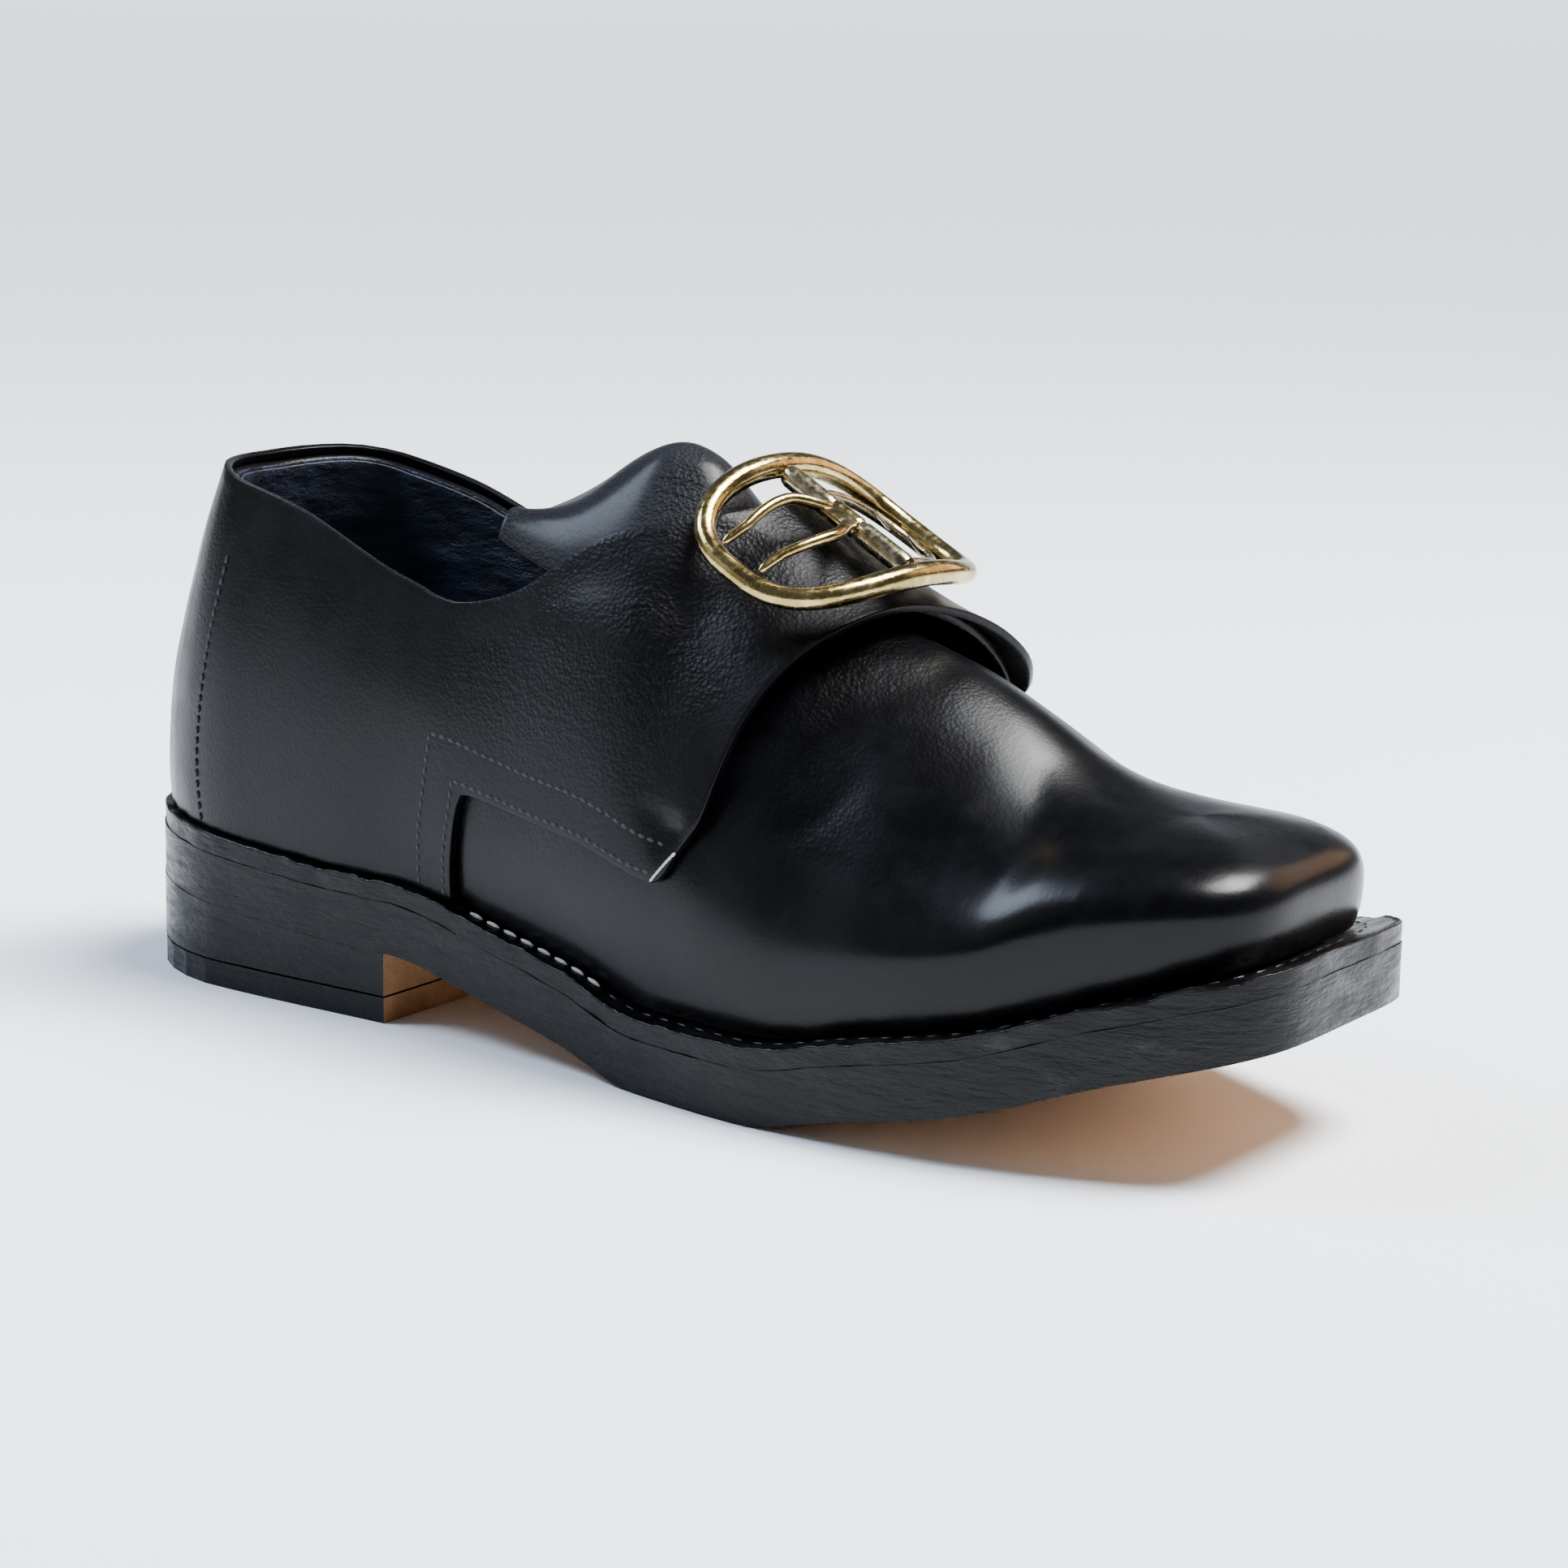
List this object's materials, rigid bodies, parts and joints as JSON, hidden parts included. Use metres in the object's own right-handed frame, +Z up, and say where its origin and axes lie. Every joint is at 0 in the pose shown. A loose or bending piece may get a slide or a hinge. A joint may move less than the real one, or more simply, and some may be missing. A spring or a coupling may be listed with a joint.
{
  "type": "buckle shoe",
  "caption": "Square-toed latchet shoe with a thick leather sole, stacked heel, tongue and an arched two-pronged buckle fastened on the instep.",
  "frame": {"origin": "middle of the shoe's length and width, on the ground", "axes": "+X to the toe, +Y to the wearer's left, +Z up"},
  "size_m": [0.3, 0.1082, 0.1285],
  "materials": {
    "black_leather": "smooth polished black",
    "pebbled_leather": "fine pebbled black",
    "sole_leather": "bare tan underneath, black inked edge",
    "edge_black": "waxed black edge",
    "lining": "matt navy black lining",
    "brass": "cast and polished",
    "steel": "dull steel"
  },
  "bodies": {
    "root": {"outsole": "sole_leather", "welt": "edge_black", "heel_stack": "edge_black", "top_lift": "sole_leather", "heel_nail_1": "steel", "heel_nail_2": "steel", "heel_nail_3": "steel", "heel_nail_4": "steel", "heel_nail_5": "steel", "heel_nail_6": "steel", "heel_nail_7": "steel", "insole": "lining", "upper": "black_leather", "quarters": "black_leather", "tongue": "pebbled_leather", "buckle_frame": "brass", "buckle_spindle": "steel", "buckle_fork": "brass", "buckle_chape": "brass"}
  },
  "joints": []
}
